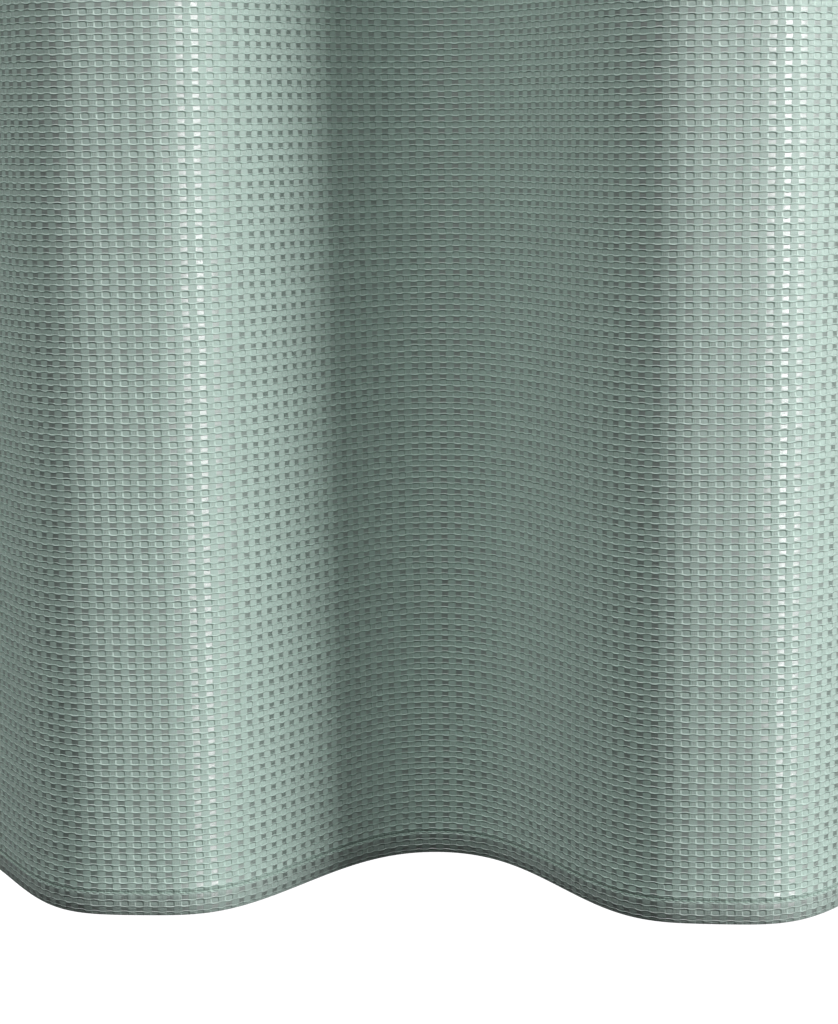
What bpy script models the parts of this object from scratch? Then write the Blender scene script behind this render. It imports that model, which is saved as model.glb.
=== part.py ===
"""Fabric shower curtain, hung from twelve rings and draped in even folds.

Metres, +Z up, front towards -Y. The origin is on the axis of the rod that the
rings hang on, half way along the curtain. The cloth is one piece on the real
object; here it is cut along the crests of its folds into twelve bays, one
round each ring, so that the folds can open out and close up.
"""
import math

import bpy
import bmesh

# ---- cloth -----------------------------------------------------------------
HOOKS = 12                 # rings, grommets and bays
HOOK_PITCH = 0.160         # along the flat cloth, grommet to grommet
SIDE_MARGIN = 0.035        # flat cloth outside the first and last grommet
CLOTH_DROP = 1.830         # top edge to hem
CLOTH_T = 0.0008
FOLD_DEPTH = 0.42          # wave amplitude over half a wavelength
FOLD_BROAD = 0.10          # second harmonic: broad crests in front, tight ones behind
FOLD_FLANK = -0.06         # third harmonic: straight, steep flanks
EDGE_GAP = 0.0015          # bay edge to fold line
FLAT_AT_GROMMET = 0.014    # half of the straight run that each grommet sits on

HEM_H = 0.012              # turned-up hem
HEM_GAP = 0.0004
HEADER_H = 0.050           # turned-down header
TAPE_T = 0.0010            # stiffening tape inside the header
TAPE_GAP = 0.0003
TAPE_H = 0.044

# ---- grommets (an eyelet in front, a washer behind) ------------------------
HOLE_DROP = 0.016          # hole centre below the top edge
BORE_R = 0.0068
BARREL_R = 0.0075
CLOTH_HOLE_R = 0.0079
FLANGE_R = 0.0125
FLANGE_T = 0.0010
WASHER_T = 0.0008
CURL_R = 0.0090
CURL_T = 0.0007
CLEAR = 0.0003

# ---- rings -----------------------------------------------------------------
ROD_R = 0.0125             # the rod itself is not part of the curtain
RING_R = 0.0265            # centre line of the wire
WIRE_R = 0.0014
RING_SLIT = 0.0012         # where the wire springs open
WIRE_LIFT = 0.0036         # wire above the centre of the hole
RING_POINTS = 21
RING_TURN = 0.5            # share of the cloth's slope that a ring turns with it
FIRST_RING_TURN = 0.72     # the ring that the fixed end of the curtain hangs from
TURN_STEPS = 14

HEADER_BACK = CLOTH_T + TAPE_T + 2 * TAPE_GAP   # front layer to back layer
HEADER_MID = HEADER_BACK / 2
RING_Z = ROD_R + CLEAR + WIRE_R - RING_R
HOLE_Z = RING_Z - RING_R - WIRE_LIFT
TOP_Z = HOLE_Z + HOLE_DROP
HEM_Z = TOP_Z - CLOTH_DROP
BACK_FACE = HEADER_BACK + CLOTH_T / 2
BORE_MID = ((BACK_FACE + WASHER_T + 2 * CLEAR + CURL_T)
            - (CLOTH_T / 2 + CLEAR + FLANGE_T)) / 2


def wave(turn, half):
    """Depth of the folds, 0 at the back of a fold and pi at its front crest."""
    return FOLD_DEPTH * half * (math.cos(turn) + FOLD_BROAD * math.cos(2 * turn)
                                + FOLD_FLANK * math.cos(3 * turn))


def arc_table(half, steps=2000):
    """(arc, x, y) from the back of a fold to its front crest."""
    rows = [(0.0, 0.0, wave(0.0, half))]
    for i in range(1, steps + 1):
        x, y = half * i / steps, wave(math.pi * i / steps, half)
        arc, x0, y0 = rows[-1]
        rows.append((arc + math.hypot(x - x0, y - y0), x, y))
    return rows


# The fold shape scales with its width, so one trial gives the hung spacing.
SPACING = HOOK_PITCH / arc_table(1.0)[-1][0]
TABLE = arc_table(SPACING)


def on_wave(arc):
    """Point at this arc length from the back of a fold."""
    low, high = 0, len(TABLE) - 1
    while high - low > 1:
        middle = (low + high) // 2
        if TABLE[middle][0] <= arc:
            low = middle
        else:
            high = middle
    (a0, x0, y0), (a1, x1, y1) = TABLE[low], TABLE[high]
    t = (arc - a0) / (a1 - a0)
    return x0 + t * (x1 - x0), y0 + t * (y1 - y0)


NEAR = on_wave(HOOK_PITCH / 2 - FLAT_AT_GROMMET)
FAR = on_wave(HOOK_PITCH / 2 + FLAT_AT_GROMMET)
GROMMET = ((NEAR[0] + FAR[0]) / 2, (NEAR[1] + FAR[1]) / 2)
FLANK = math.atan2(NEAR[1] - FAR[1], FAR[0] - NEAR[0])    # slope at the grommet
# The bore's middle hangs under the rod, on y = 0.
BACK_X, BACK_Y = math.sin(FLANK), math.cos(FLANK)
SHIFT_X = GROMMET[0] + BORE_MID * BACK_X
SHIFT_Y = GROMMET[1] + BORE_MID * BACK_Y
REAR_FOLD_Y = wave(0.0, SPACING) - SHIFT_Y
FRONT_FOLD_Y = wave(math.pi, SPACING) - SHIFT_Y


def side(k):
    """+1 on a bay that runs from a rear fold to a front crest, -1 on its mirror."""
    return 1 if k % 2 else -1


def rear_x(k):
    """World x of the rear fold that bay k reaches; the middle one is at 0."""
    return (k - HOOKS // 2 - k % 2) * SPACING


def hook_x(k):
    return rear_x(k) + side(k) * SHIFT_X


def bay_arcs(k):
    """Arc stations across bay k, from its rear fold to its front crest."""
    half, flat = HOOK_PITCH / 2, FLAT_AT_GROMMET
    first = EDGE_GAP
    last = HOOK_PITCH - EDGE_GAP
    arcs = [first, 0.018, 0.034, 0.050, half - flat,
            half + flat, 0.110, 0.126, 0.142, last]
    if k in (1, HOOKS):
        arcs = [half - SIDE_MARGIN, 0.055] + arcs[4:]
    return arcs


def station(k, arc):
    """Point and backward normal of the cloth at an arc station of bay k, world x and y."""
    x, y = on_wave(arc)
    x0, y0 = on_wave(max(arc - 0.001, 0.0))
    x1, y1 = on_wave(min(arc + 0.001, HOOK_PITCH))
    length = math.hypot(x1 - x0, y1 - y0)
    nx, ny = (y0 - y1) / length, (x1 - x0) / length
    if abs(arc - HOOK_PITCH / 2) < FLAT_AT_GROMMET + 1e-6:
        nx, ny = BACK_X, BACK_Y
    return (rear_x(k) + side(k) * x, y - SHIFT_Y), (side(k) * nx, ny)


def fold_line(k):
    """World x and y of the fold between bay k - 1 and bay k, in the middle of the header."""
    if k % 2:
        return rear_x(k), REAR_FOLD_Y + HEADER_MID
    return rear_x(k) - SPACING, FRONT_FOLD_Y + HEADER_MID


# ---- scene, collections, materials ------------------------------------------
for old in list(bpy.data.objects):
    bpy.data.objects.remove(old, do_unlink=True)

parts = bpy.data.collections.new("shower_curtain")
cutters = bpy.data.collections.new("cutters")
for collection in (parts, cutters):
    bpy.context.scene.collection.children.link(collection)
cutters.hide_render = True


def material(name, colour, roughness, metallic):
    made = bpy.data.materials.new(name)
    made.use_nodes = True
    made.diffuse_color = (*colour, 1.0)
    shader = made.node_tree.nodes["Principled BSDF"]
    shader.inputs["Base Color"].default_value = (*colour, 1.0)
    shader.inputs["Roughness"].default_value = roughness
    shader.inputs["Metallic"].default_value = metallic
    return made


CLOTH = material("sage_waffle_cloth", (0.39, 0.46, 0.43), 0.55, 0.0)
TAPE = material("header_stiffener", (0.78, 0.78, 0.75), 0.80, 0.0)
EYELET = material("grommet_metal", (0.68, 0.68, 0.67), 0.25, 1.0)
RING = material("ring_metal", (0.74, 0.74, 0.73), 0.16, 1.0)


def empty(name, where, parent=None):
    made = bpy.data.objects.new(name, None)
    made.empty_display_size = 0.03
    parts.objects.link(made)
    place(made, where, parent)
    return made


WORLD_AT = {}


def place(obj, where, parent):
    """Put an object at a world point, under a parent that is only moved, never turned."""
    WORLD_AT[obj.name] = where
    base = WORLD_AT[parent.name] if parent else (0.0, 0.0, 0.0)
    obj.parent = parent
    obj.location = [a - b for a, b in zip(where, base)]


def add(name, mesh, where, parent, look, collection=parts):
    mesh.materials.clear()
    mesh.materials.append(look)
    obj = bpy.data.objects.new(name, mesh)
    collection.objects.link(obj)
    place(obj, where, parent)
    return obj


def swept_sheet(name, k, arcs, upright, where):
    """A grid bent to the folds across and to an upright section; both are open."""
    bm = bmesh.new()
    across, up = len(arcs) - 1, len(upright) - 1
    bmesh.ops.create_grid(bm, x_segments=across, y_segments=up, size=1.0)
    for vert in bm.verts:
        i = round((vert.co.x + 1) / 2 * across)
        j = round((vert.co.y + 1) / 2 * up)
        (x, y), (nx, ny) = station(k, arcs[i])
        depth, z = upright[j]
        vert.co = (x + nx * depth - where[0], y + ny * depth - where[1], z - where[2])
    if side(k) < 0:
        bmesh.ops.reverse_faces(bm, faces=bm.faces)
    mesh = bpy.data.meshes.new(name)
    bm.to_mesh(mesh)
    bm.free()
    return mesh


def turn(middle, z, radius, start, end, steps):
    """Points round a fold in the upright section, in degrees from straight up."""
    points = []
    for i in range(steps + 1):
        angle = math.radians(start + (end - start) * i / steps)
        points.append((middle + radius * math.sin(angle), z + radius * math.cos(angle)))
    return points


def cloth_section():
    """Upright section from the back of the hem, up the front, to the back of the header."""
    hem_r = (CLOTH_T + HEM_GAP) / 2
    section = [(2 * hem_r, HEM_Z + HEM_H)]
    section += turn(hem_r, HEM_Z + CLOTH_T / 2 + hem_r, hem_r, 90, 270, 2)
    head_z = TOP_Z - CLOTH_T / 2 - HEADER_MID
    section += turn(HEADER_MID, head_z, HEADER_MID, 270, 450, 3)
    section.append((HEADER_BACK, TOP_Z - HEADER_H))
    return section


def tape_section():
    top = TOP_Z - CLOTH_T - TAPE_GAP - TAPE_T
    return [(HEADER_MID, top - TAPE_H), (HEADER_MID, top)]


def solidify(obj, thickness):
    made = obj.modifiers.new("thickness", "SOLIDIFY")
    made.thickness = thickness
    made.offset = 0.0
    made.use_even_offset = True
    made.use_rim = True


def punch(obj, cutter):
    cut = obj.modifiers.new("grommet_hole", "BOOLEAN")
    cut.operation = "DIFFERENCE"
    cut.object = cutter


def hole_cutter(k):
    """A round bar through the header, square to the cloth at grommet k."""
    bm = bmesh.new()
    bmesh.ops.create_cone(bm, cap_ends=True, segments=TURN_STEPS, radius1=CLOTH_HOLE_R,
                          radius2=CLOTH_HOLE_R, depth=0.012)
    mesh = bpy.data.meshes.new(f"hole_cutter_{k:02d}")
    bm.to_mesh(mesh)
    bm.free()
    obj = add(mesh.name, mesh, (hook_x(k), 0.0, HOLE_Z), None, CLOTH, cutters)
    obj.rotation_euler = (math.pi / 2, 0.0, -side(k) * FLANK)
    obj.display_type = "WIRE"
    obj.hide_render = True
    return obj


def turned(name, profile, where, parent, look, yaw):
    """A closed profile of (radius, height) turned round the grommet's axis, front upwards."""
    bm = bmesh.new()
    verts = [bm.verts.new((r, 0.0, h)) for r, h in profile]
    for a, b in zip(verts, verts[1:] + verts[:1]):
        bm.edges.new((a, b))
    mesh = bpy.data.meshes.new(name)
    bm.to_mesh(mesh)
    bm.free()
    obj = add(name, mesh, where, parent, look)
    obj.rotation_euler = (math.pi / 2, 0.0, yaw)
    screw = obj.modifiers.new("turn", "SCREW")
    screw.axis = "Z"
    screw.steps = TURN_STEPS
    screw.render_steps = TURN_STEPS
    screw.use_merge_vertices = True
    screw.merge_threshold = 0.00005
    screw.use_smooth_shade = True
    return obj


def eyelet_profile():
    """Front flange, barrel and the lip curled over the washer; height 0 is the bore's middle."""
    front = BORE_MID + CLOTH_T / 2 + CLEAR
    back = BORE_MID - BACK_FACE - 2 * CLEAR - WASHER_T
    return [(BORE_R, front + FLANGE_T * 0.6), (BARREL_R + 0.0006, front + FLANGE_T * 1.1),
            (FLANGE_R - 0.0008, front + FLANGE_T * 0.8), (FLANGE_R, front),
            (BARREL_R, front), (BARREL_R, back), (CURL_R, back),
            (CURL_R - 0.0004, back - CURL_T), (BORE_R, back - CURL_T * 0.6)]


def washer_profile():
    face = BORE_MID - BACK_FACE - CLEAR
    return [(CLOTH_HOLE_R, face), (FLANGE_R, face), (FLANGE_R - 0.0004, face - WASHER_T),
            (CLOTH_HOLE_R, face - WASHER_T)]


def ring_curve(name):
    """The sprung wire ring, standing in its own XZ plane, centre at the origin."""
    curve = bpy.data.curves.new(name, "CURVE")
    curve.dimensions = "3D"
    curve.bevel_depth = WIRE_R
    curve.bevel_resolution = 1
    curve.use_fill_caps = True
    spline = curve.splines.new("POLY")
    spline.points.add(RING_POINTS - 1)
    open_half = RING_SLIT / 2 / RING_R
    start = math.radians(38)
    for i, point in enumerate(spline.points):
        angle = start + open_half + (2 * math.pi - 2 * open_half) * i / (RING_POINTS - 1)
        point.co = (RING_R * math.sin(angle), 0.0, RING_R * math.cos(angle), 1.0)
    return curve


# ---- the curtain -------------------------------------------------------------
rod_line = empty("rod_line", (0.0, 0.0, 0.0))
previous = rod_line
for k in range(1, HOOKS + 1):
    hook = (hook_x(k), 0.0, HOLE_Z)
    yaw = -side(k) * FLANK
    pivot = (hook[0], hook[1], 0.0) if k == 1 else (*fold_line(k), 0.0)
    bay = empty(f"bay_{k:02d}_pivot", pivot, previous)

    cutter = hole_cutter(k)
    panel = add(f"cloth_bay_{k:02d}",
                swept_sheet(f"cloth_bay_{k:02d}", k, bay_arcs(k), cloth_section(), pivot),
                pivot, bay, CLOTH)
    solidify(panel, CLOTH_T)
    punch(panel, cutter)

    tape = add(f"header_tape_{k:02d}",
               swept_sheet(f"header_tape_{k:02d}", k, bay_arcs(k), tape_section(), pivot),
               pivot, bay, TAPE)
    solidify(tape, TAPE_T)
    punch(tape, cutter)

    turned(f"grommet_eyelet_{k:02d}", eyelet_profile(), hook, bay, EYELET, yaw)
    turned(f"grommet_washer_{k:02d}", washer_profile(), hook, bay, EYELET, yaw)

    # The ring turns about the upright line through the bore, part of the way
    # from square to the rod to square to the cloth.
    swivel = empty(f"ring_{k:02d}_pivot", hook, rod_line if k == 1 else bay)
    ring = add(f"ring_{k:02d}", ring_curve(f"ring_{k:02d}"), (hook[0], 0.0, RING_Z),
               swivel, RING)
    share = FIRST_RING_TURN if k == 1 else RING_TURN
    ring.rotation_euler = (0.0, 0.0, math.pi / 2 + yaw * share)
    previous = bay

bpy.context.view_layer.update()
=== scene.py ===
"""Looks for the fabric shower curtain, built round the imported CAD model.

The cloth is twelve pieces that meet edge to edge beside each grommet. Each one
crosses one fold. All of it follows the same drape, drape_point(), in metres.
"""
import math

import bpy
import bmesh
import numpy as np
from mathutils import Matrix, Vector


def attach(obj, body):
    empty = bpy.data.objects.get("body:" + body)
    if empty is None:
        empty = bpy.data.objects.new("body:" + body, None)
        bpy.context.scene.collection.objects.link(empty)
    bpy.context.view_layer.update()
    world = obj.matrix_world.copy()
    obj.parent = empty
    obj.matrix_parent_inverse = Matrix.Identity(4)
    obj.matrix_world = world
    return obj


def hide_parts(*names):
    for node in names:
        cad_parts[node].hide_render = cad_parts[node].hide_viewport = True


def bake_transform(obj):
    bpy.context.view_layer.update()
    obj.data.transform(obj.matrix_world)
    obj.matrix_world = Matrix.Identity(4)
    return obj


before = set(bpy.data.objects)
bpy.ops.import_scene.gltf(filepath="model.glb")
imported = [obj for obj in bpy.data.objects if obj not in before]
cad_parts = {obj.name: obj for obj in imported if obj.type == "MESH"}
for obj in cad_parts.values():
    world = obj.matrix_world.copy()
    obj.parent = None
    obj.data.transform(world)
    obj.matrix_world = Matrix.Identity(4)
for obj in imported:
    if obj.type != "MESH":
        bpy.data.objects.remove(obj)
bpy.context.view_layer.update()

# ---- the curtain's own sizes, as in the CAD ---------------------------------
HOOKS = 12
HOOK_PITCH = 0.160
SIDE_MARGIN = 0.035
CLOTH_DROP = 1.830
CAD_CLOTH_T = 0.0008
FOLD_DEPTH, FOLD_BROAD, FOLD_FLANK = 0.42, 0.10, -0.06
FLAT_AT_GROMMET = 0.014
HEM_GAP = 0.0004
TAPE_T, TAPE_GAP = 0.0010, 0.0003
HEADER_BACK = CAD_CLOTH_T + TAPE_T + 2 * TAPE_GAP
HOLE_DROP = 0.016
BORE_R, BARREL_R = 0.0068, 0.0075
CLOTH_HOLE_R, FLANGE_R = 0.0079, 0.0125
FLANGE_T, WASHER_T = 0.0010, 0.0008
CURL_R, CURL_T, CLEAR = 0.0090, 0.0007, 0.0003
ROD_R, RING_R, WIRE_R, RING_SLIT = 0.0125, 0.0265, 0.0014, 0.0012
WIRE_LIFT = 0.0036
RING_TURN, FIRST_RING_TURN = 0.5, 0.72
HEADER_MID = HEADER_BACK / 2
RING_Z = ROD_R + CLEAR + WIRE_R - RING_R
HOLE_Z = RING_Z - RING_R - WIRE_LIFT
TOP_Z = HOLE_Z + HOLE_DROP
HEM_Z = TOP_Z - CLOTH_DROP
BACK_FACE = HEADER_BACK + CAD_CLOTH_T / 2
BORE_MID = ((BACK_FACE + WASHER_T + 2 * CLEAR + CURL_T)
            - (CAD_CLOTH_T / 2 + CLEAR + FLANGE_T)) / 2

# ---- cloth detail -----------------------------------------------------------
CLOTH_T = 0.0007
HEM_H = 0.0120
HEM_STITCH = 0.0100          # seam above the bottom edge
HEM_CURL = 0.0010            # how far the hem's edge hangs back
HEADER_H = 0.050
HEADER_STITCHES = (0.0030, 0.0470)   # seams below the top edge
SIDE_HEM_STITCH = 0.0085             # seam in from the side edge
SIDE_HEM_W = 0.0105
SIDE_HEM_GAP, SIDE_HEM_ROOM = 0.0003, 0.0015     # behind the cloth, and above and below
SIDE_HEM_COLUMNS, SIDE_HEM_ROWS = 6, 72
SIDE_SEAM = (HEM_Z + 0.013, TOP_Z - HEADER_H - 0.002)    # heights it starts and ends at
TAPE_TOP, TAPE_H = 0.0021, 0.044
# Heights of the mesh rows behind the hem, and in front (height, how far the hem puffs out).
HEM_BACK_ROWS = (HEM_H, 0.0105, HEM_STITCH, 0.0085, 0.006, 0.003)
HEM_FRONT_ROWS = ((0.0025, 0.00015), (0.004, 0.00035), (0.006, 0.00040), (0.008, 0.00025),
                  (0.0093, 0.00005), (HEM_STITCH, -0.00012), (0.0107, 0.0), (0.0125, 0.00012),
                  (0.016, 0.0), (0.022, 0.0))
# The plain cloth between hem and header, and rows of points: there, in the header, round a fold.
PLAIN_LOW, PLAIN_HIGH = HEM_Z + 0.040, TOP_Z - HEADER_H - 0.010
PLAIN_ROWS, HEADER_ROWS, HEM_TURN_ROWS, TOP_TURN_ROWS, TAPE_ROWS = 70, 19, 6, 7, 15
HEADER_TOP = TOP_Z - 0.004   # where the header's flat part ends below its fold
PIECE_END = 0.020            # how far past its grommet a piece of cloth ends
EDGE = (HOOKS - 1) * HOOK_PITCH / 2 + SIDE_MARGIN
COLUMN_STEP = 0.0030         # across the cloth, between columns of mesh points
END_COLUMNS = (0.0004, 0.0020)       # extra columns in from each end of a piece
HOLE_ROOM = 0.0012           # how much wider than the hole its rim in the mesh is
CURL_POWER = 1.3             # how much the hem's curl gathers towards its edge
CELL_W, CELL_H = 0.00625, 0.0050     # one cell of the weave
STITCH, STITCH_PITCH, THREAD_R = 0.0022, 0.0028, 0.00019
STITCH_RISE, SEAM_SINK = 0.00022, 0.00008    # above the cloth, and the hem seam's sinking
STITCH_END = 0.0002          # least distance from a stitch to the end of its piece
STITCH_SHAPE = np.array([-0.6, 0.9, 1.0, 0.9, -0.6])   # height along one stitch, in rises
SHARP = math.radians(50)     # edges sharper than this aren't smoothed


# ---- drape ------------------------------------------------------------------
def wave(turn, half):
    return FOLD_DEPTH * half * (np.cos(turn) + FOLD_BROAD * np.cos(2 * turn)
                                + FOLD_FLANK * np.cos(3 * turn))


def arc_table(half):
    turn = np.linspace(0, math.pi, 2001)
    x, y = half * turn / math.pi, wave(turn, half)
    arc = np.concatenate([[0.0], np.cumsum(np.hypot(np.diff(x), np.diff(y)))])
    return arc, x, y


SPACING = HOOK_PITCH / arc_table(1.0)[0][-1]
ARC, ARC_X, ARC_Y = arc_table(SPACING)


def at_arc(arc):
    return float(np.interp(arc, ARC, ARC_X)), float(np.interp(arc, ARC, ARC_Y))


NEAR = at_arc(HOOK_PITCH / 2 - FLAT_AT_GROMMET)
FAR = at_arc(HOOK_PITCH / 2 + FLAT_AT_GROMMET)
FLANK = math.atan2(NEAR[1] - FAR[1], FAR[0] - NEAR[0])
SHIFT_X = (NEAR[0] + FAR[0]) / 2 + BORE_MID * math.sin(FLANK)
SHIFT_Y = (NEAR[1] + FAR[1]) / 2 + BORE_MID * math.cos(FLANK)


def side(k):
    return 1 if k % 2 else -1


def hook_x(k):
    return (k - HOOKS // 2 - k % 2) * SPACING + side(k) * SHIFT_X


def hook_u(k):
    """Distance along the flat cloth from its middle to grommet k."""
    return (k - (HOOKS + 1) / 2) * HOOK_PITCH


def smooth(t):
    t = np.clip(t, 0.0, 1.0)
    return t * t * (3 - 2 * t)


# Below the header, away from the middle: changes of fold depth as shares, and sideways drifts.
DEPTH_CHANGES = ((0.07, 8.3, 0.9), (0.04, 14.9, -1.7))     # share, per metre, phase
DRIFT, LOW_DRIFT, RIPPLE = 0.0045, 0.0030, 0.0012          # metres
# Metres: where below the top the folds come free and where they are low, and over what drop.
HELD, LOW, FREEING = 0.08, 0.9, 0.9
MIDDLE, AWAY = 0.20, 0.25    # metres along the cloth from its middle: even up to here, over what


def plan(u, z):
    """World x and y of the cloth at distance u along it and height z, as arrays."""
    u, z = np.broadcast_arrays(np.asarray(u, float), np.asarray(z, float))
    fold = np.round(u / (2 * HOOK_PITCH))
    local = u - fold * 2 * HOOK_PITCH
    arc = np.abs(local)
    x = 2 * SPACING * fold + np.sign(local) * np.interp(arc, ARC, ARC_X)
    y = np.interp(arc, ARC, ARC_Y) - SHIFT_Y
    # The header holds the folds even; below it they drift and deepen a little.
    free = smooth((TOP_Z - HELD - z) / FREEING)
    low = smooth((TOP_Z - LOW - z) / FREEING)
    away = smooth((np.abs(u) - MIDDLE) / AWAY)
    deeper = sum(share * np.sin(turns * u + phase) for share, turns, phase in DEPTH_CHANGES)
    y = y * (1 + free * away * deeper)
    x = x + free * away * DRIFT * np.sin(6.1 * u + 2.2 + 1.1 * z)
    x = x + low * away * LOW_DRIFT * np.sin(17.0 * u + 0.4)
    y = y + free * RIPPLE * np.sin(23.0 * u + 3.1 * z) * np.sin(4.3 * z + 9.0 * u + 0.6)
    return x, y


def drape_point(u, z, depth):
    """World points of the cloth; depth is behind its middle surface."""
    near = 0.0005
    x0, y0 = plan(u - near, z)
    x1, y1 = plan(u + near, z)
    length = np.hypot(x1 - x0, y1 - y0)
    x, y = plan(u, z)
    z = np.broadcast_to(z, x.shape)
    return np.stack([x - (y1 - y0) / length * depth, y + (x1 - x0) / length * depth, z],
                    axis=-1)


# ---- small helpers ----------------------------------------------------------
def mesh_object(name, points, faces):
    mesh = bpy.data.meshes.new(name)
    mesh.from_pydata([tuple(p) for p in points], [], faces)
    mesh.update()
    mesh.shade_smooth()
    obj = bpy.data.objects.new(name, mesh)
    bpy.context.scene.collection.objects.link(obj)
    return obj


def grid_faces(columns, rows):
    """Four-sided faces of a grid of points, numbered down each column in turn."""
    index = np.arange(columns * rows).reshape(columns, rows)
    corners = (index[:-1, :-1], index[1:, :-1], index[1:, 1:], index[:-1, 1:])
    return np.stack(corners, axis=-1).reshape(-1, 4)


def mark_cloth(obj, across, along, above_hem):
    """Stores where each point lies on the flat cloth, in metres, for the weave."""
    where = np.stack([across.ravel(), along.ravel(), above_hem.ravel()], axis=-1)
    attribute = obj.data.attributes.new("cloth_m", "FLOAT_VECTOR", "POINT")
    attribute.data.foreach_set("vector", where.astype(np.float32).ravel())


def thicken(obj, thickness, even):
    """Gives a surface its thickness, half to each side, and smooths all but its sharp edges."""
    shell = obj.modifiers.new("thickness", "SOLIDIFY")
    shell.thickness = thickness
    shell.offset = 0.0
    shell.use_even_offset = even
    bpy.context.view_layer.update()
    graph = bpy.context.evaluated_depsgraph_get()
    mesh = bpy.data.meshes.new_from_object(obj.evaluated_get(graph))
    obj.modifiers.clear()
    obj.data = mesh
    mesh.shade_smooth()
    mesh.set_sharp_from_angle(angle=SHARP)


def arc_points(middle, z, radius, start, end, steps):
    """(depth, height) round a fold, in degrees from straight up."""
    angle = np.radians(np.linspace(start, end, steps + 1))
    return [(middle + radius * math.sin(a), z + radius * math.cos(a)) for a in angle]


def hem_curl(h):
    """How far the hem hangs back, h above its bottom edge."""
    return HEM_CURL * np.clip(1 - h / HEM_STITCH, 0.0, 1.0) ** CURL_POWER


def cloth_section():
    """(depth, height) from the back of the hem, up the front, to the back of the header."""
    hem_r = (CAD_CLOTH_T + HEM_GAP) / 2
    rows = [(2 * hem_r, HEM_Z + h) for h in HEM_BACK_ROWS]
    hem_fold_z = HEM_Z + CAD_CLOTH_T / 2 + hem_r
    rows += arc_points(hem_r, hem_fold_z, hem_r, 90, 270, HEM_TURN_ROWS)
    rows += [(-puff, HEM_Z + h) for h, puff in HEM_FRONT_ROWS]
    rows += [(0.0, z) for z in np.linspace(PLAIN_LOW, PLAIN_HIGH, PLAIN_ROWS)]
    rows += [(0.0, z) for z in np.linspace(TOP_Z - HEADER_H, HEADER_TOP, HEADER_ROWS)]
    top_fold_z = TOP_Z - CAD_CLOTH_T / 2 - HEADER_MID
    rows += arc_points(HEADER_MID, top_fold_z, HEADER_MID, 270, 450, TOP_TURN_ROWS)
    rows += [(HEADER_BACK, z) for z in np.linspace(HEADER_TOP, TOP_Z - HEADER_H, HEADER_ROWS)]
    rows = np.array(rows)
    rows[:, 0] += hem_curl(rows[:, 1] - HEM_Z)
    return rows


def tape_section():
    return np.array([(HEADER_MID, z) for z in
                     np.linspace(TOP_Z - TAPE_TOP - TAPE_H, TOP_Z - TAPE_TOP, TAPE_ROWS)])


def stations(k):
    """Distances along the cloth across piece k, closer together at its two ends."""
    first = -EDGE if k == 1 else hook_u(k - 1) + PIECE_END
    last = EDGE if k == HOOKS else hook_u(k) + PIECE_END
    outer, inner = END_COLUMNS
    count = round((last - first) / COLUMN_STEP)
    middle = np.linspace(first + inner, last - inner, count)
    return np.concatenate([[first, first + outer], middle, [last - outer, last]])


def swept(name, k, section, thickness, hole_r):
    """A closed thin shell along the drape, with the grommet's hole where it has one."""
    us = stations(k)
    u, depth = np.meshgrid(us, section[:, 0], indexing="ij")
    z = np.broadcast_to(section[:, 1], u.shape)
    points = drape_point(u, z, depth)
    run = np.concatenate([[0.0], np.cumsum(np.hypot(*np.diff(section, axis=0).T))])
    v = np.broadcast_to(run, u.shape)
    faces = grid_faces(*u.shape)
    # Open the hole: drop the faces inside it, then pull its rim to a circle.
    du, dz = (u - hook_u(k)).ravel(), (z - HOLE_Z).ravel()
    far = np.hypot(du, dz)
    inside = far[faces].min(axis=1) < hole_r
    in_header = (z.ravel()[faces] > PLAIN_HIGH).all(axis=1)
    gone = inside & in_header
    kept = faces[~gone]
    rim = np.intersect1d(faces[gone], kept)
    flat_points = points.reshape(-1, 3)
    if len(rim):
        scale = (hole_r + HOLE_ROOM) / far[rim]
        new_u, new_z = hook_u(k) + du[rim] * scale, HOLE_Z + dz[rim] * scale
        flat_points[rim] = drape_point(new_u, new_z, depth.ravel()[rim])
    obj = mesh_object(name, flat_points, kept.tolist())
    mark_cloth(obj, u, v, z - HEM_Z)
    bm = bmesh.new()
    bm.from_mesh(obj.data)
    loose = [vert for vert in bm.verts if not vert.link_faces]
    bmesh.ops.delete(bm, geom=loose, context="VERTS")
    bm.to_mesh(obj.data)
    bm.free()
    thicken(obj, thickness, even=True)
    return obj


def tubes(name, paths, radius):
    """Round threads, each along its own list of points, closed at both ends."""
    points, faces = [], []
    sides, end_share = 5, 0.6
    for path in paths:
        path = np.asarray(path)
        base = len(points)
        count = len(path)
        for i in range(count):
            along = path[min(i + 1, count - 1)] - path[max(i - 1, 0)]
            along /= np.linalg.norm(along)
            across = np.cross(along, (0.0, 1.0, 0.0))
            if np.linalg.norm(across) < 0.1:
                across = np.cross(along, (0.0, 0.0, 1.0))
            across /= np.linalg.norm(across)
            other = np.cross(along, across)
            r = radius * (end_share if i in (0, count - 1) else 1.0)
            for j in range(sides):
                a = 2 * math.pi * j / sides
                points.append(path[i] + r * (math.cos(a) * across + math.sin(a) * other))
        for i in range(count - 1):
            for j in range(sides):
                a, b = base + i * sides + j, base + i * sides + (j + 1) % sides
                faces.append((a, b, b + sides, a + sides))
        faces.append(tuple(base + j for j in reversed(range(sides))))
        last = base + (count - 1) * sides
        faces.append(tuple(last + j for j in range(sides)))
    return mesh_object(name, points, faces)


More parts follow.
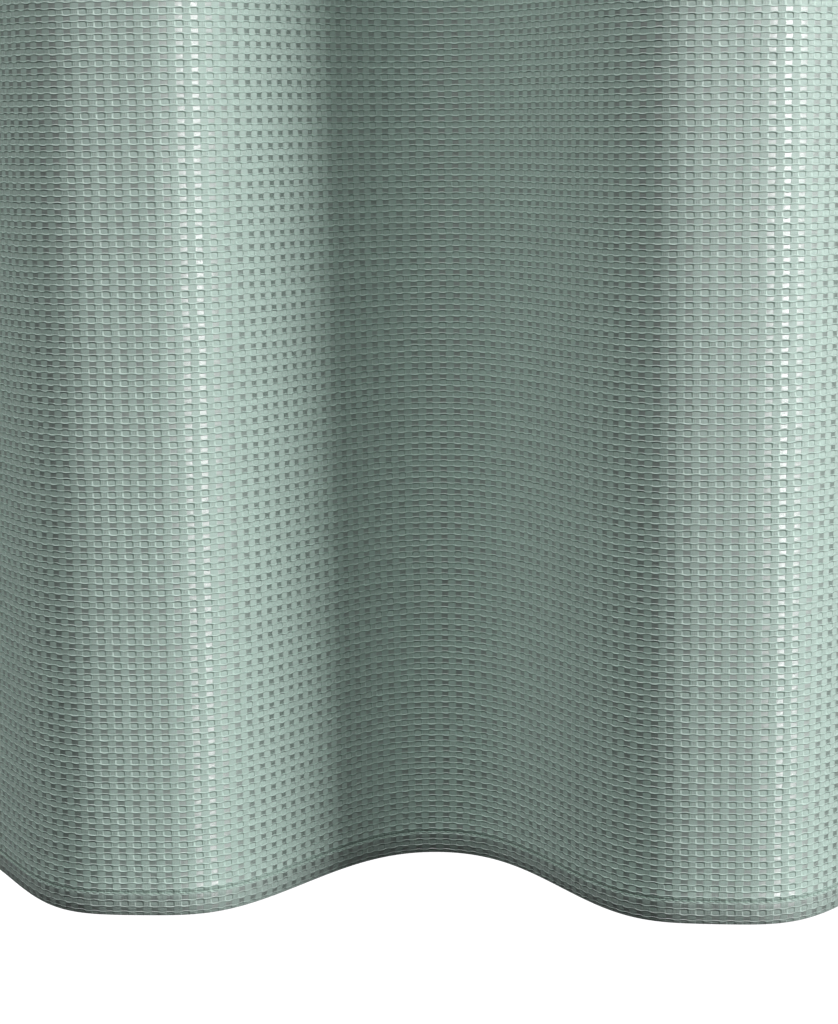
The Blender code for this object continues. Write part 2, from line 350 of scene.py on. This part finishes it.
def lathe(name, profile):
    """A closed profile of (radius, height) turned round Z."""
    points, faces = [], []
    steps, count = 64, len(profile)
    for i in range(steps):
        a = 2 * math.pi * i / steps
        points += [(r * math.cos(a), r * math.sin(a), h) for r, h in profile]
    for i in range(steps):
        for j in range(count):
            a, b = i * count + j, i * count + (j + 1) % count
            c, d = (i + 1) % steps * count + (j + 1) % count, (i + 1) % steps * count + j
            faces.append((a, d, c, b))
    return mesh_object(name, points, faces)


# ---- materials --------------------------------------------------------------
class Nodes:
    """Short names for a material's shader nodes."""

    def __init__(self, name):
        self.material = bpy.data.materials.new(name)
        self.material.use_nodes = True
        self.tree = self.material.node_tree
        self.shader = self.tree.nodes["Principled BSDF"]

    def link(self, value, socket):
        if isinstance(value, bpy.types.NodeSocket):
            self.tree.links.new(value, socket)
        else:
            socket.default_value = value

    def math(self, operation, a, b=0.0):
        node = self.tree.nodes.new("ShaderNodeMath")
        node.operation = operation
        for value, socket in zip((a, b), node.inputs):
            self.link(value, socket)
        return node.outputs[0]

    def add(self, a, b):
        return self.math("ADD", a, b)

    def sub(self, a, b):
        return self.math("SUBTRACT", a, b)

    def mul(self, a, b):
        return self.math("MULTIPLY", a, b)

    def step(self, value, low, high):
        """0 at low, 1 at high, smooth between."""
        node = self.tree.nodes.new("ShaderNodeMapRange")
        node.interpolation_type = "SMOOTHSTEP"
        for socket, given in (("Value", value), ("From Min", low), ("From Max", high)):
            self.link(given, node.inputs[socket])
        return node.outputs["Result"]

    def noise(self, vector, scale, detail=2.0):
        node = self.tree.nodes.new("ShaderNodeTexNoise")
        self.link(vector, node.inputs["Vector"])
        node.inputs["Scale"].default_value = scale
        node.inputs["Detail"].default_value = detail
        return node.outputs["Fac"]

    def wander(self, vector, scale, amount):
        """Smooth noise from minus to plus half the amount."""
        return self.mul(self.sub(self.noise(vector, scale), 0.5), amount)

    def waves(self, value, period):
        return self.math("SINE", self.mul(value, 2 * math.pi / period))

    def white(self, vector):
        node = self.tree.nodes.new("ShaderNodeTexWhiteNoise")
        node.noise_dimensions = "3D"
        self.link(vector, node.inputs["Vector"])
        return node.outputs["Value"]

    def combine(self, x, y, z):
        node = self.tree.nodes.new("ShaderNodeCombineXYZ")
        for value, socket in zip((x, y, z), node.inputs):
            self.link(value, socket)
        return node.outputs[0]

    def mix(self, factor, a, b):
        node = self.tree.nodes.new("ShaderNodeMix")
        node.data_type = "RGBA"
        self.link(factor, node.inputs["Factor"])
        self.link(a, node.inputs["A"])
        self.link(b, node.inputs["B"])
        return node.outputs["Result"]

    def attribute(self, name):
        node = self.tree.nodes.new("ShaderNodeAttribute")
        node.attribute_name = name
        return node.outputs["Vector"]

    def split(self, vector):
        node = self.tree.nodes.new("ShaderNodeSeparateXYZ")
        self.link(vector, node.inputs[0])
        return node.outputs[0], node.outputs[1], node.outputs[2]

    def object_coordinates(self):
        node = self.tree.nodes.new("ShaderNodeTexCoord")
        return node.outputs["Object"]

    def bump(self, height, distance, strength):
        node = self.tree.nodes.new("ShaderNodeBump")
        self.link(height, node.inputs["Height"])
        node.inputs["Distance"].default_value = distance
        node.inputs["Strength"].default_value = strength
        self.link(node.outputs["Normal"], self.shader.inputs["Normal"])

    def set(self, **values):
        for name, value in values.items():
            self.link(value, self.shader.inputs[name.replace("_", " ")])


YARN = (0.275, 0.504, 0.404, 1.0)      # raised body of the weave
LINE_HIGHLIGHT = (0.325, 0.590, 0.474, 1.0)      # thin yarns along both sides of each row of hollows, painted lighter as a highlight along their ridge
BOX = (0.222, 0.416, 0.328, 1.0)       # short upright ribs between hollows
FLOAT = (0.045, 0.130, 0.092, 1.0)     # smooth floats above and below each hollow
GAP = (0.238, 0.440, 0.352, 1.0)       # rows that hold the floats
# the hollows: the yarn painted a little darker, as shade in the recess
HOLLOW_SHADE = (0.256, 0.472, 0.376, 1.0)
# The tone of the colour, and its changes: by cell, by row, by slub, by plain weave, and painted
# shade at the hem.
TONE, CELL_TONE, ROW_TONE, SLUB_TONE, PLAIN_TONE = 0.92, 0.06, 0.04, 0.12, 0.03
# Painted shade on the hem strip below its seam: how much darker, and the heights above the hem over
# which it fades out.
HEM_SHADE, HEM_SHADE_SPAN = 0.24, (HEM_STITCH - 0.0012, HEM_STITCH + 0.0002)
# Places inside a cell are shares of it, from its middle. A pair says where an edge starts and ends.
HOLLOW_W, HOLLOW_H, WALL = 0.30, 0.275, (0.68, 1.02)
LINE_AT, LINE_BOW, LINE_EDGE = 0.250, 0.034, (0.025, 0.070)
ROW_EDGE, GAP_EDGE = (-0.03, 0.0), (0.025, 0.055)       # from the line's middle
POST_AT, POST_EDGE, BOX_EDGE = 0.325, (0.010, 0.035), (0.345, 0.375)
FLOAT_EDGE, PILLOW_W = (0.20, 0.25), 0.62
WANDER_ACROSS, WANDER_DOWN = (55.0, 0.20), (70.0, 0.16)  # noise scale, shares of a cell
# Heights in mm, and thread pitches in metres.
RELIEF = {"sunk": -0.38, "line": 0.32, "post": 0.06, "pillow": 0.04, "box": 0.05,
          "box_ribs": 0.035, "ribs": 0.030, "floats": 1.0, "plain": 0.014, "fuzz": 0.03}
THREAD_RISE, THREAD_PITCH = 0.020, 0.00040
FLOAT_TILT, FLOAT_PITCH = 0.30, 0.00045
RIB_PITCH, UPRIGHT_PITCH, PLAIN_PITCH = 0.00029, 0.00062, 0.00058
FUZZ_SCALE, SLUB_SCALE, SLUB_STRETCH = 2600.0, 900.0, 0.12
GROOVE, GROOVE_EDGE = 0.40, (0.0001, 0.0011)             # along the hem's seam
PUCKER, PUCKER_EDGE, PUCKER_SCALE, PUCKER_STRETCH = 0.70, (0.0006, 0.0042), 420.0, 0.35
BODY_ROUGH, FLOAT_ROUGH = 0.72, 0.48
SHEEN, SHEEN_ROUGH, GLOSS_IOR = 0.3, 0.6, 2.6


def waffle_cloth():
    """Waffle weave: sunk hollows in rows, outlined by thin yarns, with satin floats between rows."""
    n = Nodes("sage_waffle_cloth")
    where = n.attribute("cloth_m")
    u, v, above_hem = n.split(where)
    pu = n.add(n.mul(u, 1 / CELL_W), n.wander(where, *WANDER_ACROSS))
    pv = n.add(n.mul(v, 1 / CELL_H), n.wander(where, *WANDER_DOWN))
    cell = n.combine(n.math("FLOOR", pu), n.math("FLOOR", pv), 0.0)
    row = n.combine(0.0, n.math("FLOOR", pv), 3.0)
    from_u = n.math("ABSOLUTE", n.sub(n.math("FRACT", pu), 0.5))
    from_v = n.math("ABSOLUTE", n.sub(n.math("FRACT", pv), 0.5))
    chance, row_chance = n.white(cell), n.white(row)

    # Rows bow apart over each hollow and close up between hollows.
    bow = n.mul(n.math("COSINE", n.mul(from_u, 2 * math.pi)), LINE_BOW)
    line_at = n.add(bow, LINE_AT)
    off_line = n.sub(from_v, line_at)
    power = n.add(n.math("POWER", n.mul(from_u, 1 / HOLLOW_W), 4.0),
                  n.math("POWER", n.mul(from_v, 1 / HOLLOW_H), 4.0))
    sunk = n.sub(1.0, n.step(n.math("POWER", power, 0.25), *WALL))
    line = n.sub(1.0, n.step(n.math("ABSOLUTE", off_line), *LINE_EDGE))
    in_row = n.sub(1.0, n.step(off_line, *ROW_EDGE))
    between = n.step(off_line, *GAP_EDGE)
    from_post = n.math("ABSOLUTE", n.sub(from_u, POST_AT))
    post = n.mul(n.sub(1.0, n.step(from_post, *POST_EDGE)), in_row)
    box = n.mul(n.step(from_u, *BOX_EDGE), in_row)
    floats = n.mul(n.sub(1.0, n.step(from_u, *FLOAT_EDGE)), between)

    # Fine threads: across in the floats, which lean to one side, and upright in the ribs.
    across = n.mul(n.waves(v, THREAD_PITCH), THREAD_RISE)
    lean = n.mul(n.math("FRACT", n.mul(u, 1 / FLOAT_PITCH)), -FLOAT_TILT * FLOAT_PITCH * 1000)
    upright = n.waves(u, UPRIGHT_PITCH)
    plain_weave = n.mul(n.waves(v, PLAIN_PITCH), upright)
    parts = {"line": line, "post": post,
             "pillow": n.mul(n.math("COSINE", n.mul(from_u, math.pi / PILLOW_W)), floats),
             "box": box, "box_ribs": n.mul(box, upright),
             "ribs": n.mul(n.sub(1.0, floats), n.waves(u, RIB_PITCH)),
             "floats": n.mul(floats, n.add(across, lean)),
             "plain": plain_weave, "fuzz": n.noise(where, FUZZ_SCALE)}
    height = n.mul(sunk, RELIEF["sunk"])
    for name, part in parts.items():
        height = n.add(height, n.mul(part, RELIEF[name]))

    # The hem's seam draws the cloth in and puckers it.
    from_seam = n.math("ABSOLUTE", n.sub(above_hem, HEM_STITCH))
    groove = n.sub(1.0, n.step(from_seam, *GROOVE_EDGE))
    near_seam = n.sub(1.0, n.step(from_seam, *PUCKER_EDGE))
    pucker = n.noise(n.combine(u, n.mul(v, PUCKER_STRETCH), 7.0), PUCKER_SCALE)
    height = n.sub(height, n.mul(groove, GROOVE))
    height = n.add(height, n.mul(n.mul(near_seam, pucker), PUCKER))
    n.bump(height, 0.001, 1.0)

    # Painted shade: the sunk hollows are a little darker than the raised yarn.
    colour = n.mix(sunk, YARN, HOLLOW_SHADE)
    colour = n.mix(box, colour, BOX)
    colour = n.mix(between, colour, GAP)
    colour = n.mix(floats, colour, FLOAT)
    # Painted highlight: the thin yarns are a little lighter, as where their ridge catches the light.
    colour = n.mix(line, colour, LINE_HIGHLIGHT)
    slub = n.noise(n.combine(n.mul(u, SLUB_STRETCH), v, 0.0), SLUB_SCALE, 1.0)
    tone = n.add(TONE, n.add(n.mul(chance, CELL_TONE), n.mul(row_chance, ROW_TONE)))
    tone = n.add(tone, n.mul(n.sub(slub, 0.5), SLUB_TONE))
    tone = n.add(tone, n.mul(plain_weave, PLAIN_TONE))
    # Painted shade: the hem strip below its seam is darker.
    painted_hem_shade = n.sub(1.0, n.step(above_hem, *HEM_SHADE_SPAN))
    tone = n.mul(tone, n.sub(1.0, n.mul(painted_hem_shade, HEM_SHADE)))
    scaled = n.tree.nodes.new("ShaderNodeVectorMath")
    scaled.operation = "SCALE"
    n.link(colour, scaled.inputs[0])
    n.link(tone, scaled.inputs["Scale"])
    n.set(Base_Color=scaled.outputs[0], IOR=GLOSS_IOR, Specular_IOR_Level=1.0,
          Roughness=n.add(BODY_ROUGH, n.mul(floats, FLOAT_ROUGH - BODY_ROUGH)),
          Sheen_Weight=SHEEN, Sheen_Roughness=SHEEN_ROUGH)
    return n.material


def plain(name, colour, roughness, metallic, grain, grain_scale):
    """A plain material with a fine grain in its colour, roughness and surface."""
    n = Nodes(name)
    where = n.object_coordinates()
    specks = n.noise(where, grain_scale, 3.0)
    dark = tuple(c * (1 - grain) for c in colour) + (1.0,)
    light = tuple(min(1.0, c * (1 + grain * 0.5)) for c in colour) + (1.0,)
    n.set(Base_Color=n.mix(specks, dark, light), Metallic=metallic,
          Roughness=n.add(roughness, n.mul(n.sub(specks, 0.5), 0.10)))
    n.bump(specks, 0.00005, 0.5)
    return n.material


CLOTH = waffle_cloth()
THREAD = plain("sage_thread", (0.44, 0.58, 0.51), 0.50, 0.0, 0.15, 3000.0)
STIFFENER = plain("white_stiffener", (0.78, 0.78, 0.75), 0.80, 0.0, 0.10, 1500.0)
NICKEL = plain("brushed_nickel", (0.44, 0.43, 0.41), 0.34, 1.0, 0.08, 700.0)
WIRE = plain("nickel_wire", (0.30, 0.295, 0.285), 0.36, 1.0, 0.06, 500.0)


# ---- pieces -----------------------------------------------------------------
def dress(obj, material):
    obj.data.materials.clear()
    obj.data.materials.append(material)


def join_bodies(obj, k):
    """Attaches piece 1 to bay 1; every other piece, across the fold between bay k - 1 and bay k,
    only gets its transform baked in.
    """
    if k == 1:
        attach(obj, "bay_01")
        return
    middle = (hook_u(k - 1) + hook_u(k)) / 2
    x, y = plan(middle, TOP_Z)
    y = float(y) + HEADER_MID
    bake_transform(obj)


def seam(us, z, depth, lift):
    """Stitches along the cloth at one height: each rises from the cloth and dips back."""
    paths = []
    for start in us:
        span = np.linspace(start, start + STITCH, len(STITCH_SHAPE))
        paths.append(drape_point(span, z, depth + lift * STITCH_SHAPE))
    return paths


def stitch_starts(k):
    """Where each stitch of a seam starts on piece k, so that no stitch crosses its ends."""
    first, last = stations(k)[[0, -1]]
    numbers = np.arange(math.ceil(first / STITCH_PITCH), math.ceil(last / STITCH_PITCH))
    low, high = first + STITCH_END, last - STITCH - STITCH_END
    return [n * STITCH_PITCH for n in numbers if low <= n * STITCH_PITCH <= high]


def stitching(k):
    """The hem's and header's seams on piece k, front and back, and the side hem's."""
    us = stitch_starts(k)
    behind = [u + STITCH_PITCH / 2 for u in us]
    front, back = -CLOTH_T / 2, CLOTH_T / 2
    hem_back = CAD_CLOTH_T + HEM_GAP + back
    paths = seam(us, HEM_Z + HEM_STITCH, front + SEAM_SINK, -STITCH_RISE)
    paths += seam(behind, HEM_Z + HEM_STITCH, hem_back, STITCH_RISE)
    for drop in HEADER_STITCHES:
        paths += seam(us, TOP_Z - drop, front, -STITCH_RISE)
    paths += seam(behind, TOP_Z - HEADER_STITCHES[1], HEADER_BACK + back, STITCH_RISE)
    if k in (1, HOOKS):
        u = (EDGE - SIDE_HEM_STITCH) * (-1 if k == 1 else 1)
        for z in np.arange(*SIDE_SEAM, STITCH_PITCH):
            heights = np.linspace(z, z + STITCH, len(STITCH_SHAPE))
            paths.append(drape_point(u, heights, front - STITCH_RISE * STITCH_SHAPE))
    return tubes(f"stitching_{k:02d}", paths, THREAD_R)


def side_hem(k):
    """The cloth's side edge, turned back on itself behind piece k."""
    sign = -1 if k == 1 else 1
    gap = CAD_CLOTH_T + SIDE_HEM_GAP
    us = sign * (EDGE - np.linspace(END_COLUMNS[0], SIDE_HEM_W, SIDE_HEM_COLUMNS))
    zs = np.linspace(HEM_Z + HEM_H + SIDE_HEM_ROOM, TOP_Z - HEADER_H - SIDE_HEM_ROOM,
                     SIDE_HEM_ROWS)
    u, z = np.meshgrid(us, zs, indexing="ij")
    points = drape_point(u, z, gap)
    faces = grid_faces(*u.shape)
    obj = mesh_object(f"side_hem_{k:02d}", points.reshape(-1, 3), faces.tolist())
    mark_cloth(obj, 2 * sign * EDGE - u, z, z - HEM_Z)
    thicken(obj, CLOTH_T, even=False)
    return obj


def on_grommet(obj, k):
    obj.location = (hook_x(k), 0.0, HOLE_Z)
    obj.rotation_euler = (math.pi / 2, 0.0, -side(k) * FLANK)


def eyelet(k):
    """Front flange with a rolled edge, barrel, and the lip curled over the washer."""
    front = BORE_MID + CAD_CLOTH_T / 2 + CLEAR
    back = BORE_MID - BACK_FACE - 2 * CLEAR - WASHER_T
    profile = [(BORE_R, front + 0.0002), (BORE_R + 0.0003, front + 0.0008),
               (BORE_R + 0.0011, front + FLANGE_T * 1.1), (BORE_R + 0.0022, front + 0.00105),
               (FLANGE_R - 0.0022, front + 0.00085), (FLANGE_R - 0.0010, front + 0.0007),
               (FLANGE_R - 0.0003, front + 0.00035), (FLANGE_R, front),
               (FLANGE_R - 0.0006, front - 0.0001), (BARREL_R + 0.0003, front),
               (BARREL_R, front - 0.0003), (BARREL_R, back + 0.0002), (BARREL_R + 0.0003, back),
               (CURL_R - 0.0002, back), (CURL_R, back - 0.0003),
               (CURL_R - 0.0005, back - CURL_T), (BARREL_R + 0.0002, back - CURL_T),
               (BORE_R + 0.0002, back - 0.0004), (BORE_R, back)]
    obj = lathe(f"eyelet_{k:02d}", profile)
    on_grommet(obj, k)
    return obj


def washer(k):
    """Flat ring behind the cloth, held by the eyelet's curled lip."""
    face = BORE_MID - BACK_FACE - CLEAR
    profile = [(CLOTH_HOLE_R, face - 0.0001), (CLOTH_HOLE_R + 0.0002, face),
               (FLANGE_R - 0.0002, face),
               (FLANGE_R, face - 0.0002), (FLANGE_R - 0.0003, face - WASHER_T + 0.0002),
               (FLANGE_R - 0.0009, face - WASHER_T), (CLOTH_HOLE_R + 0.0002, face - WASHER_T),
               (CLOTH_HOLE_R, face - WASHER_T + 0.0001)]
    obj = lathe(f"washer_{k:02d}", profile)
    on_grommet(obj, k)
    return obj


SLIT_AT = math.radians(38)     # from the top of the ring
# A wire's rounded end: (distance from the end, share of the wire's radius).
WIRE_END = [(0.0, 0.05), (0.00018, 0.5), (0.0005, 0.8), (0.0010, 0.96)]


def ring(k):
    """A round wire, sprung open at a slit whose two ends are rounded."""
    share = FIRST_RING_TURN if k == 1 else RING_TURN
    steps, sides = 96, 16
    half = RING_SLIT / 2 / RING_R
    first, last = SLIT_AT + half, SLIT_AT + 2 * math.pi - half
    angles = np.linspace(first, last, steps + 1)[2:-2]
    trim = [(first + d / RING_R, WIRE_R * share_r) for d, share_r in WIRE_END]
    tail = [(last - d / RING_R, WIRE_R * share_r) for d, share_r in reversed(WIRE_END)]
    path = trim + [(a, WIRE_R) for a in angles] + tail
    points, faces = [], []
    for a, r in path:
        for j in range(sides):
            t = 2 * math.pi * j / sides
            out = RING_R + r * math.cos(t)
            points.append((out * math.sin(a), r * math.sin(t), out * math.cos(a)))
    for i in range(len(path) - 1):
        for j in range(sides):
            a, b = i * sides + j, i * sides + (j + 1) % sides
            faces.append((a, b, b + sides, a + sides))
    faces.append(tuple(reversed(range(sides))))
    end = (len(path) - 1) * sides
    faces.append(tuple(end + j for j in range(sides)))
    obj = mesh_object(f"hook_ring_{k:02d}", points, faces)
    bm = bmesh.new()
    bm.from_mesh(obj.data)
    bmesh.ops.recalc_face_normals(bm, faces=bm.faces)
    bm.to_mesh(obj.data)
    bm.free()
    obj.location = (hook_x(k), 0.0, RING_Z)
    obj.rotation_euler = (0.0, 0.0, math.pi / 2 - side(k) * FLANK * share)
    return obj


section = cloth_section()
for k in range(1, HOOKS + 1):
    cloth = swept(f"curtain_cloth_{k:02d}", k, section, CLOTH_T, CLOTH_HOLE_R)
    dress(cloth, CLOTH)
    thread = stitching(k)
    dress(thread, THREAD)
    tape = swept(f"stiffener_{k:02d}", k, tape_section(), TAPE_T, CLOTH_HOLE_R)
    dress(tape, STIFFENER)
    for obj in (cloth, thread, tape):
        join_bodies(obj, k)
    if k in (1, HOOKS):
        hem = side_hem(k)
        dress(hem, CLOTH)
        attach(hem, f"bay_{k:02d}")
    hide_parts(f"cloth_bay_{k:02d}")
    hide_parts(f"header_tape_{k:02d}")
    for made, node, material, slot, body in (
            (eyelet(k), "grommet_eyelet", NICKEL, "grommet", f"bay_{k:02d}"),
            (washer(k), "grommet_washer", NICKEL, "grommet", f"bay_{k:02d}"),
            (ring(k), "ring", WIRE, "ring", "first_ring" if k == 1 else f"hook_ring_{k:02d}")):
        dress(made, material)
        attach(made, body)
        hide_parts(f"{node}_{k:02d}")

# ---- floor, light, camera ---------------------------------------------------
FLOOR_Z, FLOOR_SIZE = -2.05, 60.0
SURROUND, SURROUND_SEEN = 0.03, 1.05     # how bright the white round it shines, and looks
bpy.ops.mesh.primitive_plane_add(size=FLOOR_SIZE, location=(0.0, 0.0, FLOOR_Z))
floor = bpy.context.object
floor.name = "studio_floor"
ground = Nodes("studio_white")
ground.set(Base_Color=(0.05, 0.05, 0.05, 1.0), Roughness=0.9, Specular_IOR_Level=0.0,
           Emission_Color=(1.0, 1.0, 1.0, 1.0), Emission_Strength=1.0)
floor.data.materials.append(ground.material)
floor.visible_diffuse = False
floor.visible_glossy = False

world = bpy.data.worlds.new("studio")
bpy.context.scene.world = world
world.use_nodes = True
tree = world.node_tree
background = tree.nodes["Background"]
background.inputs["Color"].default_value = (1.0, 1.0, 1.0, 1.0)
background.inputs["Strength"].default_value = SURROUND
bright = tree.nodes.new("ShaderNodeBackground")
bright.inputs["Color"].default_value = (1.0, 1.0, 1.0, 1.0)
bright.inputs["Strength"].default_value = SURROUND_SEEN
path = tree.nodes.new("ShaderNodeLightPath")
both = tree.nodes.new("ShaderNodeMixShader")
tree.links.new(path.outputs["Is Camera Ray"], both.inputs["Fac"])
tree.links.new(background.outputs[0], both.inputs[1])
tree.links.new(bright.outputs[0], both.inputs[2])
tree.links.new(both.outputs[0], tree.nodes["World Output"].inputs["Surface"])


def area_light(name, towards, distance, azimuth, elevation, size, power):
    """A soft light in metres and watts, azimuth in degrees to the right of straight in front."""
    data = bpy.data.lights.new(name, "AREA")
    data.shape = "RECTANGLE"
    data.size, data.size_y = size
    data.energy = power
    light = bpy.data.objects.new(name, data)
    bpy.context.scene.collection.objects.link(light)
    a, e = math.radians(azimuth), math.radians(elevation)
    out = Vector((math.sin(a) * math.cos(e), -math.cos(a) * math.cos(e), math.sin(e)))
    light.location = Vector(towards) + out * distance
    light.rotation_euler = out.to_track_quat("Z", "Y").to_euler()


AIM, BACK_AIM = (0.05, 0.0, -1.75), (0.0, 0.0, -1.0)
area_light("key", AIM, 6.0, 77.0, 12.0, (2.8, 3.5), 490.0)
area_light("fill", AIM, 24.0, -45.0, 60.0, (7.2, 11.2), 2330.0)
area_light("front", AIM, 24.0, 14.0, 63.0, (7.2, 11.2), 2500.0)
area_light("back_key", BACK_AIM, 6.0, 112.0, 20.0, (3.0, 4.0), 360.0)
area_light("back_fill", BACK_AIM, 6.0, -150.0, 45.0, (3.0, 4.0), 300.0)

camera_data = bpy.data.cameras.new("camera")
camera_data.sensor_width = 36.0
camera_data.lens = 86.0
camera = bpy.data.objects.new("camera", camera_data)
bpy.context.scene.collection.objects.link(camera)
camera.location = (0.0733, -0.998, HEM_Z + 0.324)
camera.rotation_mode = "XYZ"
camera.rotation_euler = (math.radians(90 - 9.19), math.radians(0.56), math.radians(4.34))
bpy.context.scene.camera = camera
bpy.context.scene.view_settings.view_transform = "Standard"
